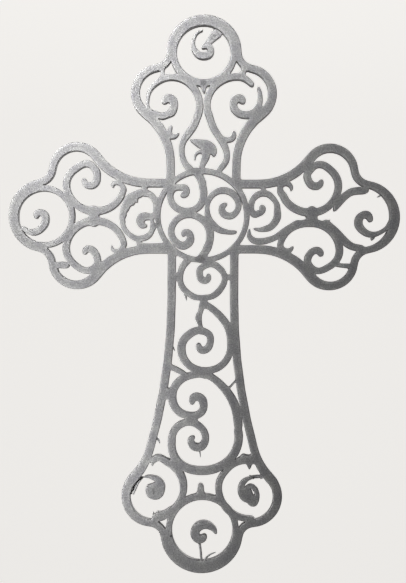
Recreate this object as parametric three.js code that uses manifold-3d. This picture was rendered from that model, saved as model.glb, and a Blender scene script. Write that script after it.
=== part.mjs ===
// An openwork cross of scrolled bars, cut in one piece from flat iron plate.
// It hangs upright: +X is to the viewer's right, +Z is up, the face looks along -Y.
// Every place below is in millimetres from the crossing, the centre of the middle ring.

import * as THREE from 'three';
import { mergeVertices } from 'three/addons/utils/BufferGeometryUtils.js';
import Module from 'manifold-3d';

// Driving dimensions
const PLATE = 10;             // thickness of the plate
const BAR = 6;                // width of the outer bar along the straight sides
const LOBE_BAR = 7.1;         // width of the outer bar round the lobes
const NOTCH_BAR = 5;          // width of the outer bar in the hollows between lobes
const LIMB_ROOT = 24.5;       // from the crossing to where the side bars of a limb start
const RING_RADIUS = 32;       // middle ring, along the middle of its band
const RING_BAND = 4;
const TIE_DEPTH = 6;          // thin ties stand back from the face
const TRIM = 1;               // drawn over at face and back, and trimmed off flat
const MOUNT_ABOVE_CROSSING = 139.7;  // from the crossing up to the middle of the topmost bar
const SLAB_SIDE = 1000;       // slab wider than the cross that trims it flat
const CHORD_ERROR = 0.16;     // how far a facet may stand off its true arc
const BAR_STEPS = 2;          // facets between two marks of a short bar
const END_FACETS = 3;         // facets round the end of a bar

// Each limb of the outer bar is drawn with a compass, on its outer edge.
// turn: which way the limb points; shift: how far it stands off the crossing, in x and z;
// half: half the width over the bars; flare: where they start to spread, and the radius of that sweep;
// shoulder: radius of the turn into the side lobe; side: place along and across, and radius, of that lobe;
// notch: radius of the hollow between lobes; end: place along, and radius, of the end lobe.
const LIMBS = {
  top: {
    turn: 0, shift: [0.7, 0], half: 26.6, flare: [30, 4000], shoulder: 43,
    side: [86.8, 31.3, 21], notch: 9, end: [116.4, 26.9],
  },
  left: {
    turn: 90, shift: [0, -1.2], half: 26.8, flare: [30, 4000], shoulder: 43,
    side: [89.6, 32.2, 20.5], notch: 9, end: [112.3, 26.4],
  },
  right: {
    turn: -90, shift: [0.4, -1.1], half: 26.4, flare: [30, 4000], shoulder: 43,
    side: [90.8, 32.1, 20.5], notch: 9, end: [115, 26.2],
  },
  foot: {
    turn: 180, shift: [0.7, 0], half: 25.4, flare: [60, 395], shoulder: 43,
    side: [201.5, 35.4, 22.1], notch: 8, end: [227.1, 29.6],
  },
};

// Full rings: centre x, centre z, radius along the middle of the band, width of the band
const RINGS = {
  middle: [0, -0.5, RING_RADIUS, RING_BAND],
  topLobe: [0.4, 116.4, 21.8, 5],
  leftLobe: [-113.6, -2, 20.4, 4.3],
  footLobe: [1.2, -226, 24, 4.6],
};

// Scrolls are drawn with a compass whose setting eases from row to row.
// Each row is [direction in degrees, centre x, centre z, radius, width of the bar].
const SCROLLS = {
  topLeft: [
    [-25, -22.1, 78.3, 20, 5.2], [0, -22.1, 78.3, 19.8, 5.3], [90, -22.1, 78.3, 20.4, 4.6],
    [140, -22.1, 78.3, 19.3, 2.9], [180, -22.1, 78.3, 17.5, 2.1], [225, -23.5, 79, 11.1, 4.3],
    [270, -24.6, 79.4, 7.2, 5], [345, -25, 80.1, 4.6, 5.8], [430, -25, 80.4, 3.2, 6],
    [520, -25, 80.6, 2.6, 5],
  ],
  topRight: [
    [205, 23, 78.6, 20, 5.2], [120, 23, 78.6, 20, 4.9], [75, 23, 78.6, 20.8, 4.6],
    [50, 23, 78.6, 19.3, 3.2],
  ],
  topRightCurl: [
    [41, 27.2, 80.7, 16.5, 1.8], [12, 27.2, 80.7, 14.2, 3.6], [-12, 27.2, 80.7, 13.2, 4.3],
    [-46, 27.2, 80.7, 11.4, 5.4], [-77, 27.2, 80.7, 9.1, 5], [-120, 27.2, 80.7, 7, 5],
    [-170, 26.9, 80.7, 5, 5.4], [-240, 26.5, 80.7, 3.3, 5.7], [-330, 26.5, 80.7, 2.4, 5],
  ],
  topLobe: [
    [95, 0.9, 122.8, 9.7, 0.7], [170, 0.9, 122.4, 8.2, 2.5], [250, 0.9, 122.1, 8.4, 5],
    [360, 2, 118.2, 3.5, 4.8], [500, 2, 118.5, 2.6, 2.9],
  ],
  leftUpper: [
    [-12, -76.9, 22.2, 20.8, 4.3], [-90, -76.9, 22.2, 20, 5.7], [-175, -76.9, 22.2, 20.8, 5],
    [-235, -78.3, 22.2, 15.7, 4.7], [-300, -80.5, 25, 7.9, 5], [-340, -81.2, 25, 5.9, 5],
    [-380, -81.6, 25, 5.7, 5], [-470, -81.9, 24, 3.3, 4.7], [-550, -82.3, 24.3, 2.5, 3.2],
  ],
  leftLower: [
    [8, -76.6, -25, 20.8, 4.3], [90, -76.6, -25, 20.3, 5.7], [175, -76.6, -25, 21.1, 5],
    [235, -78.1, -25.4, 16.5, 4.7], [300, -79.8, -29, 8.9, 4.7], [340, -80.7, -29.7, 5.9, 5],
    [380, -81.3, -29.4, 4.8, 5], [460, -81.3, -28.6, 3.9, 5], [545, -81.6, -27.6, 2.5, 3.2],
  ],
  leftInner: [
    [48, -43.9, -1.2, 15.1, 4.7], [68, -43.9, -1.2, 17, 4.3], [92, -43.9, -1.2, 17, 4.7],
    [101, -43.9, -1.2, 15.5, 6.4], [112, -43.9, -1.2, 14.5, 8.1], [126, -43.9, -1.2, 13.9, 8.2],
    [142, -43.9, -1.2, 13.2, 6.4], [158, -43.9, -1.2, 13.1, 5.2], [183, -43.9, -1.2, 13.2, 4.7],
    [200, -43.9, -1.2, 14.2, 3.3], [229, -43.9, -1.2, 15.4, 3.5], [262, -43.9, -1.2, 16.5, 4.3],
    [288, -43.9, -1.2, 15.2, 4.4], [303, -43.9, -1.2, 13.7, 3.6], [318, -43.9, -1.2, 10.9, 3.2],
  ],
  leftComma: [
    [44, -41.3, -5.2, 4.8, 4.7], [90, -41.3, -5.2, 3.8, 6], [135, -41.3, -5.2, 3.6, 6.4],
    [180, -41.3, -5.2, 3.1, 5.9], [230, -41.3, -5.2, 3.2, 5], [285, -41.3, -5.2, 3, 2.7],
  ],
  leftLobe: [
    [215, -121.1, -4.9, 8.9, 2.9], [270, -120.8, -4.9, 8.4, 4.7], [330, -118.6, -4.2, 6.4, 5],
    [400, -116.1, -2.7, 3.9, 5], [500, -116.5, -2, 2.9, 4.7], [560, -116.8, -1.6, 2.3, 2.9],
  ],
  centreUpper: [
    [30, -11.7, 14.7, 13.2, 5.4], [0, -11.7, 14.7, 12.7, 5.4], [-90, -11, 14.7, 12.2, 4.7],
    [-180, -11, 14, 12.2, 4.7], [-250, -13.9, 15.4, 4.5, 4.3], [-360, -14.3, 16.5, 2.9, 5],
    [-450, -14, 16.2, 2.1, 4.3],
  ],
  centreLower: [
    [-40, -8.4, -14.6, 15, 5.7], [0, -8.4, -13.9, 14.1, 5.7], [90, -9.4, -13.2, 13.2, 4.3],
    [170, -9.1, -13.2, 13.4, 4.7], [235, -11.6, -15.7, 7.5, 5.7], [300, -11.4, -16.1, 4.3, 5.7],
    [360, -11.6, -15.7, 3.2, 5.4], [450, -11.6, -15, 2.7, 4.7], [530, -11.6, -14.7, 2, 3.6],
  ],
  centreRight: [
    [-66, 16.9, 3.4, 17.2, 2.5], [-90, 17.3, 3, 15, 3.6], [-135, 16.6, 3.4, 14, 5.7],
    [-180, 15.9, 4.8, 12.5, 3.4], [-270, 15.1, 5.2, 12.5, 4.7], [-350, 16.2, 6.2, 10, 4.3],
    [-410, 18, 4.8, 6.4, 4.5], [-480, 17.3, 4.1, 3.9, 4.9], [-560, 16.9, 4.8, 2.9, 4.5],
    [-620, 17.1, 5.2, 2.3, 3.1],
  ],
  rightUpper: [
    [200, 77.3, 22.3, 21.1, 5], [270, 77.7, 22.3, 20.3, 5.7], [350, 77.3, 22.3, 20.5, 5],
    [415, 79.1, 22.3, 16.1, 4.7], [480, 80.5, 25.2, 7.5, 5], [560, 81.4, 25, 4.8, 5],
    [650, 82.3, 24.1, 3.1, 5], [720, 83, 24.5, 2.1, 3.6],
  ],
  rightLower: [
    [168, 77.9, -25.3, 22.2, 4.3], [90, 77.9, -25.3, 20, 5.7], [0, 77.9, -25.3, 20.8, 5],
    [-60, 79.4, -25.3, 15.7, 4.7], [-120, 80.8, -28.8, 8.2, 5], [-160, 81.5, -29.5, 6.1, 5],
    [-200, 81.8, -29.5, 4.7, 5], [-280, 82.2, -28.8, 3.9, 5], [-360, 82.8, -28.1, 2.5, 3.9],
  ],
  rightLobe: [
    [-5, 122.9, -3.2, 12, 2.4], [-60, 122.5, -3.5, 9.9, 3.2], [-100, 122.2, -3.9, 9.7, 4.3],
    [-160, 120, -3.9, 8.2, 5.4], [-220, 116.8, -2.9, 3.9, 5.4], [-300, 117.2, -1.8, 2.9, 5],
    [-370, 118.2, -2.8, 2.5, 3.6],
  ],
  rightInner: [
    [240, 44.3, 2.8, 14.3, 1.4], [280, 44.3, 3, 12.7, 4.7], [330, 44.3, 3, 10.7, 5.4],
    [360, 44.3, 3, 9.5, 4.7], [400, 44.3, 3, 10.7, 3.2], [450, 44.3, 3, 12.9, 4.6],
    [540, 44.3, 4.6, 9.3, 4.1], [630, 40.5, 4.7, 3.2, 4.6], [720, 40.9, 4.4, 2.5, 4.6],
    [770, 41.1, 4.5, 1.9, 3.6],
  ],
  underRing: [
    [128, 0.4, -46.4, 17.2, 5], [180, 0.4, -46.1, 16.2, 4.3], [235, 0.4, -46.4, 14, 4.5],
    [270, 0.4, -46.4, 13.1, 3.9], [320, 0.4, -46.4, 14.3, 4.7], [365, 0.8, -46.1, 15.7, 4.3],
    [410, 2.9, -43.9, 10.4, 4.7], [470, 2.5, -43.9, 6.8, 4.7], [540, 2.2, -43.9, 3.7, 5],
    [640, 2, -44.1, 3.2, 5], [740, 2.4, -44.3, 2.4, 3.6],
  ],
  columnUpper: [
    [5, 2.8, -94, 18.2, 5], [-45, 2.8, -94.4, 17.9, 4.7], [-90, 2.5, -94.7, 17.2, 5],
    [-135, 2.5, -94.7, 17.5, 5.4], [-180, 2.5, -95.4, 17, 6.1], [-235, 1, -95.1, 13.2, 5.7],
    [-290, 0.7, -92.6, 8.6, 5], [-360, 0.5, -92.2, 5.6, 5], [-440, 0.5, -93, 4.5, 5],
    [-530, 0.2, -93.3, 2.4, 4.3],
  ],
  columnMiddle: [
    [60, -5.2, -130.2, 17.2, 5], [100, -4.9, -130.2, 15.2, 5], [180, -5.9, -130.2, 15, 6.1],
    [240, -6.7, -129.8, 14.7, 5.4], [290, -5.9, -133.4, 10.7, 5], [360, -3.4, -134.5, 4.8, 6.1],
    [450, -3.8, -134.1, 3.7, 5.7], [550, -3.9, -133.8, 2.7, 4.3],
  ],
  columnLower: [
    [12, 2.8, -159.5, 24.3, 6.1], [-40, 2.8, -159.5, 24, 5.7], [-90, 1.4, -159.5, 24.1, 5.9],
    [-135, 2.1, -159.9, 25.4, 5.7], [-180, 2.1, -162, 23.3, 5.7],
  ],
  columnEye: [
    [-170, -8.8, -161.7, 12.3, 5.7], [-270, -8.8, -161.3, 12.5, 4.7], [-330, -8.6, -161.3, 12.2, 5],
    [-380, -5.8, -160.3, 8.9, 5.4], [-450, -3.3, -161.7, 5, 5.7], [-540, -4, -161.7, 3.4, 4.7],
    [-600, -4.3, -161.7, 2.4, 2.9],
  ],
  footLeftRing: [
    [66, -32.8, -195.5, 20.2, 5.2], [55, -32.8, -195.5, 20.3, 5.7], [0, -32.8, -195.5, 20.5, 5.4],
    [-35, -32.8, -195.5, 20.4, 4.3], [-75, -32.8, -195.1, 20.4, 3.6],
  ],
  footRightRing: [
    [80, 35.2, -195.4, 20.4, 6], [100, 35.2, -195.4, 20.4, 6], [130, 35.2, -195.4, 20.3, 3.6],
    [180, 35.2, -195.4, 22.5, 5], [230, 35.2, -195.4, 22.5, 5], [275, 35.2, -195.4, 22.5, 3.6],
  ],
  footLeft: [
    [125, -34.9, -196.5, 10, 0.7], [85, -34.9, -196.5, 7.8, 3.2], [30, -34.9, -196.5, 7.2, 5],
    [-30, -34.2, -196.9, 5.4, 6.1], [-110, -33.8, -197.3, 3.6, 6.1], [-190, -34.2, -196.9, 2.9, 5],
    [-250, -34.2, -196.5, 2.1, 2.9],
  ],
  footRight: [
    [80, 35.9, -197.6, 9.3, 0.9], [120, 35.9, -197.6, 8.2, 3.2], [180, 35.6, -197.6, 6.7, 5],
    [240, 35.2, -198, 5.7, 6.1], [290, 34.9, -198.3, 4.7, 5],
  ],
  footBottom: [
    [5, 1.8, -228.5, 9.1, 2.5], [50, 1.8, -228.5, 7.2, 5], [90, 1.4, -228.2, 5.9, 6.1],
    [170, 0, -228.6, 4.2, 6.4], [270, -0.2, -229.3, 3.4, 5.7], [340, 0.3, -230, 2.6, 4.3],
  ],
};

// Short bars, hooks and bridges at full thickness, bent through marks [x, z, width].
const BARS = {
  neckLeft: [
    [-3.8, 70.5, 5.2], [-6.3, 64.1, 5.2], [-10.2, 58.3, 5], [-14.2, 51.9, 4.3], [-14.9, 44, 4.2],
    [-12.6, 36.9, 4.3], [-8.6, 32.2, 5],
  ],
  neckRight: [
    [4.4, 72, 5.2], [7.3, 63.4, 5], [11.6, 56.3, 4.7], [15.6, 49.9, 4.7], [17.4, 44.2, 4.4],
    [17.1, 39.2, 4.4], [14.3, 34.9, 4.3], [11.8, 32, 3.6],
  ],
  neckHook: [
    [13.1, 54.9, 3.6], [19.2, 53.8, 3.6], [22.6, 56.4, 3.6], [22, 59.9, 2.1],
  ],
  shoulderHook: [
    [-22.7, 62.9, 2.5], [-23.8, 59.7, 3.2], [-22.5, 56.1, 3.9], [-19.3, 56.1, 2.5], [-17, 58.4, 1.1],
  ],
  leftUpperHook: [
    [-56.1, 17.3, 3.9], [-57.9, 21.2, 3.6], [-61.9, 23, 3.2], [-64.7, 21.5, 2.5], [-64, 19.4, 1.4],
  ],
  leftLowerHook: [
    [-55.9, -20.6, 4.3], [-57.3, -24.6, 3.6], [-60.9, -26.4, 2.9], [-64.1, -25.7, 2.1],
    [-64.9, -22.5, 1.1],
  ],
  rightUpperHook: [
    [56.2, 15.8, 4.3], [55.8, 20.1, 3.9], [58.3, 22.9, 3.6], [62.3, 22.2, 3.2], [64.1, 19.4, 2.1],
    [63.8, 17.6, 1.1],
  ],
  rightLowerHook: [
    [56.1, -20, 4.3], [56.4, -23.2, 3.9], [59.3, -25.4, 3.6], [63.3, -25, 3.2], [65, -22.5, 1.8],
  ],
  rightLowerTail: [
    [68.5, -5.6, 5], [60, -11, 5.4], [52.1, -16.1, 4.3], [44.3, -18.6, 4.7], [37.1, -18.3, 4.3],
    [33.7, -14.8, 3.2], [33.8, -10.1, 1.4],
  ],
  centreUpperTail: [
    [-4.3, 31.2, 5.7], [-1.8, 26.9, 5.4], [0.4, 21.9, 5.6],
  ],
  centreLowerTail: [
    [-0.8, -31.8, 6.4], [1.7, -27.5, 5.7], [4.6, -22.4, 5.7],
  ],
  columnUpperTail: [
    [0.8, -63.3, 5], [7.3, -67.2, 5], [13.8, -73.2, 5.4], [18.8, -80.3, 5.7], [21, -88.2, 5.7],
    [21.1, -93.9, 5.7],
  ],
  columnLowerTail: [
    [-1, -113.4, 5], [6.9, -116.2, 5], [14.8, -122.6, 5.7], [21.3, -131.1, 6.4], [25.2, -140.4, 6.8],
    [26.7, -152, 5.9],
  ],
  columnStrip: [
    [3, -58.6, 3.6], [0.5, -63.3, 4.3], [-0.9, -69.7, 3.6], [-2.3, -75.4, 2.1],
  ],
  footRightCurl: [
    [32, -196.2, 1.8], [35.6, -194.2, 2.9], [39.5, -197.2, 3.6], [40.3, -202.6, 3.6],
    [38.1, -206.9, 4.3], [34.9, -206.5, 2.9],
  ],
  footRightEye: [
    [32.7, -197.6, 5.7], [34.9, -200.1, 5.7],
  ],
  footLeftEye: [
    [-32.4, -193.2, 3.6], [-32.8, -196.8, 4.6],
  ],
  leftTopStub: [
    [-29.1, 104.7, 2.9], [-29, 98.3, 2.9],
  ],
  rightTopStub: [
    [30.3, 107.2, 3.6], [28.2, 100.8, 4.3],
  ],
  leftInnerStub: [
    [-41.5, 21, 3.6], [-41.4, 14.5, 3.6],
  ],
  rightInnerStub: [
    [43.7, 21.4, 2.5], [43.7, 16.4, 2.9],
  ],
  leftTie: [
    [-103.8, -36.6, 4.3], [-97.3, -36.6, 4.7],
  ],
  rightTie: [
    [97.3, -35.5, 2.9], [101.6, -35.9, 3.2], [105.9, -36.2, 3.6],
  ],
  leftBridge: [
    [-21.4, -44.8, 5], [-15.7, -44.7, 5],
  ],
  rightBridge: [
    [16.5, -44.6, 3.6], [22.2, -44.5, 3.6],
  ],
  middleBridge: [
    [-26.7, -128.5, 7.2], [-21, -128.5, 7.2],
  ],
  columnBlock: [
    [-23.9, -108.5, 3.6], [-18.2, -110.9, 3.9], [-12.5, -114.1, 3.6],
  ],
  columnTie: [
    [19.1, -125.1, 1.1], [25.8, -117.5, 1.1],
  ],
  footKnob: [
    [-0.2, -201.4, 5.7], [0, -196.4, 4.7], [0, -194.6, 4.3],
  ],
  footKnuckle: [
    [30.8, -173.6, 5], [34.4, -176.8, 5], [34.6, -181.9, 1.4],
  ],
  footHook: [
    [-23.6, -177.9, 5], [-27.2, -175.5, 4.7], [-30.2, -174.1, 4.4], [-33, -175.2, 4.7],
    [-34.8, -177.2, 3.6], [-34.6, -180.1, 0.9],
  ],
  footLump: [
    [-20.9, -211.1, 3.9], [-25.9, -215.5, 5.7], [-30.2, -216.6, 6.6], [-33.2, -217.9, 4.3],
  ],
  leafBlade: [
    [-8.7, 53.7, 1.4], [-2.6, 51.2, 5.7], [3.8, 49.1, 7.9], [7.8, 45.6, 5.7], [8.1, 42.3, 2.1],
  ],
  leafStem: [
    [2.4, 47.7, 5.7], [2.4, 41.9, 5.7], [0.3, 36.9, 4.3], [-0.8, 33.3, 3.6],
  ],
  leafCurl: [
    [1.3, 45.5, 2.1], [-2.6, 45.1, 2.1], [-5.5, 42.6, 1.8], [-5.4, 39.4, 1.1],
  ],
  leftJoin: [
    [-77.9, 2.9, 7.2], [-77.8, -5.7, 7.2],
  ],
  rightJoin: [
    [78.5, 3, 7.9], [78.5, -4.9, 7.9],
  ],
  leftInnerSide: [
    [-33.3, 10.3, 4.7], [-33.2, 7.2, 4.3], [-33.5, -1.4, 3.6],
  ],
  leftCommaStem: [
    [-35.7, -0.3, 3.2], [-36.3, -4.3, 1.9], [-35, -8.1, 4.6], [-36.1, -11.9, 2.9],
  ],
  leftSill: [
    [-45.6, -20.7, 3.6], [-42.3, -21.5, 2.3], [-25.9, -21.5, 2.6],
  ],
  rightRingUpper: [
    [117, 18.2, 5], [107, 17.1, 5.4], [100.6, 12.4, 5.4], [97.1, 7.8, 4.7], [94.8, 3.5, 2.1],
  ],
  rightRingLower: [
    [88.5, -4.8, 4.3], [95.7, -11.2, 5], [101.5, -17.6, 5.4], [107.2, -21.9, 5], [114.4, -23.6, 5],
  ],
  columnJoin: [
    [-9.8, -146.9, 3.2], [-4.1, -146.9, 3.2],
  ],
  topLink: [
    [0, 95.2, 3.6], [0.4, 91.8, 3.6], [1, 87.6, 1.4],
  ],
  columnLeaf: [
    [-1.6, -70.4, 3.6], [-2.4, -74, 5], [-1.2, -78.3, 3.2], [0.2, -83.3, 2.5],
  ],
};

// Thin ties and leaves that stand back from the face, by the same marks.
const TIES = {
  topLeaf: [
    [2.7, 122.5, 3.6], [6.6, 127.1, 5.7], [10.2, 131.1, 7.9],
  ],
  footLeftTie: [
    [-41.5, -188.6, 1.4], [-45, -191.8, 1.6], [-47.4, -195.6, 1.6], [-51.5, -201.5, 1.6],
  ],
  footRightTie: [
    [35.2, -188.4, 1.8], [46.2, -187.6, 1.8],
  ],
  footBottomTie: [
    [-1, -233.6, 1.8], [0.1, -241, 1.6], [0.9, -251, 1.8],
  ],
};

const wasm = await Module();
wasm.setup();

const OUTSIDE = 1;
const INSIDE = -1;
const SAME_PLACE = 0.01;      // stations closer than this are one

const radians = THREE.MathUtils.degToRad;

// Point at a compass direction round a centre
function onCircle(centre, radius, angle) {
  return new THREE.Vector2(centre.x + radius * Math.cos(angle), centre.y + radius * Math.sin(angle));
}

// Number of straight facets that keep an arc within the chord error
function facets(radius, sweep) {
  const step = 2 * Math.acos(1 - CHORD_ERROR / Math.max(radius, 1));
  return Math.max(2, Math.ceil(Math.abs(sweep) / step));
}

// Stations along a scroll, each a point and the bar's width there;
// between two rows the compass eases from one setting to the next
function scrollStations(rows) {
  const stations = [];
  for (let row = 1; row < rows.length; row += 1) {
    const [a0, x0, z0, r0, w0] = rows[row - 1];
    const [a1, x1, z1, r1, w1] = rows[row];
    const count = facets(Math.max(r0, r1), radians(a1 - a0));
    for (let i = row === 1 ? 0 : 1; i <= count; i += 1) {
      const t = i / count;
      const ease = THREE.MathUtils.smoothstep(t, 0, 1);
      const centre = new THREE.Vector2(x0, z0).lerp(new THREE.Vector2(x1, z1), ease);
      const angle = radians(THREE.MathUtils.lerp(a0, a1, t));
      const point = onCircle(centre, THREE.MathUtils.lerp(r0, r1, ease), angle);
      stations.push({ point, width: THREE.MathUtils.lerp(w0, w1, t) });
    }
  }
  return stations;
}

// Stations along a short bar that bends smoothly through its marks
function barStations(marks) {
  const curve = new THREE.CatmullRomCurve3(marks.map(([x, z, width]) => new THREE.Vector3(x, z, width)));
  const count = marks.length === 2 ? 1 : (marks.length - 1) * BAR_STEPS;
  return curve.getPoints(count).map((mark) => ({ point: new THREE.Vector2(mark.x, mark.y), width: mark.z }));
}

// Flat outline of a bar of changing width along its stations, with rounded ends
function barShape(stations) {
  const left = [];
  const right = [];
  const last = stations.length - 1;
  stations.forEach(({ point, width }, i) => {
    const before = stations[Math.max(i - 1, 0)].point;
    const after = stations[Math.min(i + 1, last)].point;
    const along = after.clone().sub(before).normalize();
    const across = new THREE.Vector2(-along.y, along.x).multiplyScalar(width / 2);
    left.push(point.clone().add(across));
    right.push(point.clone().sub(across));
  });
  right.reverse();
  const farEnd = roundEnd(left[last], right[0]);
  const nearEnd = roundEnd(right[last], left[0]);
  return new THREE.Shape([...left, ...farEnd, ...right, ...nearEnd]);
}

// Points of a half circle between the two corners of a bar's end
function roundEnd(start, end) {
  const centre = start.clone().add(end).multiplyScalar(0.5);
  const radius = start.distanceTo(end) / 2;
  const angle = start.clone().sub(centre).angle();
  const points = [];
  for (let i = 1; i < END_FACETS; i += 1) {
    points.push(onCircle(centre, radius, angle - (Math.PI * i) / END_FACETS));
  }
  return points;
}

// Flat ring between two circles
function ringShape(x, z, radius, band) {
  const count = facets(radius, 2 * Math.PI);
  const circle = (r) => Array.from({ length: count }, (unused, i) =>
    onCircle(new THREE.Vector2(x, z), r, (2 * Math.PI * i) / count));
  const shape = new THREE.Shape(circle(radius + band / 2));
  shape.holes.push(new THREE.Path(circle(radius - band / 2)));
  return shape;
}

// Meeting point of two circles, on the right of the way from the first centre to the second
function circlesMeet(first, firstRadius, second, secondRadius) {
  const way = second.clone().sub(first);
  const gap = way.length();
  const along = (firstRadius ** 2 - secondRadius ** 2 + gap ** 2) / (2 * gap);
  const aside = Math.sqrt(firstRadius ** 2 - along ** 2);
  way.divideScalar(gap);
  return new THREE.Vector2(first.x + way.x * along + way.y * aside, first.y + way.y * along - way.x * aside);
}

// Direction from one centre to another, given within half a turn of a known direction
function direction(from, to, near) {
  const angle = Math.atan2(to.y - from.y, to.x - from.x);
  return angle + 2 * Math.PI * Math.round((near - angle) / (2 * Math.PI));
}

// Stations of the outer bar along one arc of its outer edge; the bar lies outside a hollow and inside a lobe
function edgeStations(centre, edge, side, from, to, widthFrom, widthTo) {
  const count = facets(edge, to - from);
  const stations = [];
  for (let i = 0; i <= count; i += 1) {
    const t = i / count;
    const width = THREE.MathUtils.lerp(widthFrom, widthTo, t);
    const point = onCircle(centre, edge + (side * width) / 2, THREE.MathUtils.lerp(from, to, t));
    stations.push({ point, width });
  }
  return stations;
}

// Stations of the outer bar round one limb, up its right side, over the end lobe and down the left side
function limbStations({ turn, shift, half, flare, shoulder, side, notch, end }) {
  const flareCentre = new THREE.Vector2(half + flare[1], flare[0]);
  const sideCentre = new THREE.Vector2(side[1], side[0]);
  const endCentre = new THREE.Vector2(0, end[0]);
  const shoulderCentre = circlesMeet(sideCentre, side[2] + shoulder, flareCentre, flare[1] - shoulder);
  const notchCentre = circlesMeet(sideCentre, side[2] + notch, endCentre, end[1] + notch);
  const flareEnd = direction(flareCentre, shoulderCentre, Math.PI);
  const shoulderEnd = direction(shoulderCentre, sideCentre, Math.PI);
  const sideStart = direction(sideCentre, shoulderCentre, 0);
  const sideEnd = direction(sideCentre, notchCentre, 0);
  const notchStart = direction(notchCentre, sideCentre, Math.PI);
  const notchEnd = direction(notchCentre, endCentre, Math.PI);
  const endStart = direction(endCentre, notchCentre, 0);
  const rightSide = [
    { point: new THREE.Vector2(half - BAR / 2, LIMB_ROOT), width: BAR },
    ...edgeStations(flareCentre, flare[1], OUTSIDE, Math.PI, flareEnd, BAR, BAR),
    ...edgeStations(shoulderCentre, shoulder, OUTSIDE, flareEnd, shoulderEnd, BAR, LOBE_BAR),
    ...edgeStations(sideCentre, side[2], INSIDE, sideStart, sideEnd, LOBE_BAR, NOTCH_BAR),
    ...edgeStations(notchCentre, notch, OUTSIDE, notchStart, notchEnd, NOTCH_BAR, NOTCH_BAR),
    ...edgeStations(endCentre, end[1], INSIDE, endStart, Math.PI / 2, NOTCH_BAR, LOBE_BAR),
  ];
  const leftSide = rightSide.slice(0, -1).reverse().map(({ point, width }) => (
    { point: new THREE.Vector2(-point.x, point.y), width }));
  const crossing = new THREE.Vector2(0, 0);
  const aside = new THREE.Vector2(...shift);
  const stations = [...rightSide, ...leftSide];
  stations.forEach(({ point }) => point.rotateAround(crossing, radians(turn)).add(aside));
  return stations.filter(({ point }, i) => i === 0 || point.distanceTo(stations[i - 1].point) > SAME_PLACE);
}

// Closed solid of a three.js geometry
function solidOf(geometry) {
  geometry.deleteAttribute('normal');
  geometry.deleteAttribute('uv');
  const merged = mergeVertices(geometry, 1e-5);
  return new wasm.Manifold(new wasm.Mesh({
    numProp: 3,
    vertProperties: new Float32Array(merged.attributes.position.array),
    triVerts: new Uint32Array(merged.index.array),
  }));
}

// Flat shape stood upright, from past the back to a depth towards the viewer
function plateSolid(shape, depth) {
  const options = { depth: depth + TRIM, bevelEnabled: false, curveSegments: 1 };
  const plate = new THREE.ExtrudeGeometry(shape, options);
  plate.rotateX(Math.PI / 2);
  plate.translate(0, TRIM, 0);
  return solidOf(plate);
}

// Slab that holds everything between the flat back and the flat face
function trimmingSlab() {
  const slab = new THREE.BoxGeometry(SLAB_SIDE, PLATE, SLAB_SIDE);
  slab.translate(0, -PLATE / 2, 0);
  return solidOf(slab);
}

// The whole cross: outer bar, rings, scrolls and bars at full thickness, and the thin ties behind the face
function crossGeometry() {
  const faceShapes = [
    ...Object.values(LIMBS).map((limb) => barShape(limbStations(limb))),
    ...Object.values(RINGS).map((ring) => ringShape(...ring)),
    ...Object.values(SCROLLS).map((rows) => barShape(scrollStations(rows))),
    ...Object.values(BARS).map((marks) => barShape(barStations(marks))),
  ];
  const tieShapes = Object.values(TIES).map((marks) => barShape(barStations(marks)));
  const solids = [
    ...faceShapes.map((shape) => plateSolid(shape, PLATE + TRIM)),
    ...tieShapes.map((shape) => plateSolid(shape, TIE_DEPTH)),
  ];
  const whole = solids.reduce((sum, solid) => sum.add(solid)).intersect(trimmingSlab());
  const { vertProperties, triVerts } = whole.getMesh();
  const geometry = new THREE.BufferGeometry();
  geometry.setAttribute('position', new THREE.BufferAttribute(vertProperties, 3));
  geometry.setIndex(new THREE.BufferAttribute(triVerts, 1));
  geometry.computeVertexNormals();
  return geometry;
}

const iron = new THREE.MeshStandardMaterial({ color: 0x8c8c8e, roughness: 0.55, metalness: 0.9 });
const cross = new THREE.Mesh(crossGeometry(), iron);
cross.name = 'cross';
cross.position.z = -MOUNT_ABOVE_CROSSING;

const part = new THREE.Group();
part.add(cross);

export default part;
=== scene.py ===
# %% [markdown]
# # An openwork iron cross
# The real cross is one flat iron plate. Its outer bar, rings and scrolls were cut out together, the
# face was blasted to a dull grey grain, and the edges kept a few burrs and thin slivers of metal.
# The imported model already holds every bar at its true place. This lesson gives it the parts that an
# eye sees from a hand's breadth away: smooth curves, rounded edges, an uneven face and bare iron.

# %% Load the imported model
import math

import bmesh
import bpy
import numpy as np
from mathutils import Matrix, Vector, geometry, kdtree, noise


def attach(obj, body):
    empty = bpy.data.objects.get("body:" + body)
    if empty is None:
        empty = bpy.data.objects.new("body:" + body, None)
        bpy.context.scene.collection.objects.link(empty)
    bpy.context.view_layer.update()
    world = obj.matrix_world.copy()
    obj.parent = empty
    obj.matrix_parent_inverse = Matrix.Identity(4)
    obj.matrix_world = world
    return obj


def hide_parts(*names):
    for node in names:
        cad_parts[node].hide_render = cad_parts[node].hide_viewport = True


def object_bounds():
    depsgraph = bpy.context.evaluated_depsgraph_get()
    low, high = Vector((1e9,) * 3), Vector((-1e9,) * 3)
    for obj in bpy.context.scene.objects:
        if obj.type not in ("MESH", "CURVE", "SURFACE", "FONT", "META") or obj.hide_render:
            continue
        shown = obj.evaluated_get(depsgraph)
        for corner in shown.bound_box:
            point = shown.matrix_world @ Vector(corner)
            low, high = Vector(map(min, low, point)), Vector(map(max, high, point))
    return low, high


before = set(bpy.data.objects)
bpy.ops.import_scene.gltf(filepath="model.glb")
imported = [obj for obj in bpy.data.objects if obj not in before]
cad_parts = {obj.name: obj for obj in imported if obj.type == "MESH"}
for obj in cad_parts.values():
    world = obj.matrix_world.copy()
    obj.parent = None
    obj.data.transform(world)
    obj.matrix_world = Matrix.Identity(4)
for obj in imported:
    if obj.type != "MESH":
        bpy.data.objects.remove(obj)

MM = 0.001
cad_low, cad_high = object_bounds()
PLATE = (cad_high.y - cad_low.y) / MM
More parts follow.
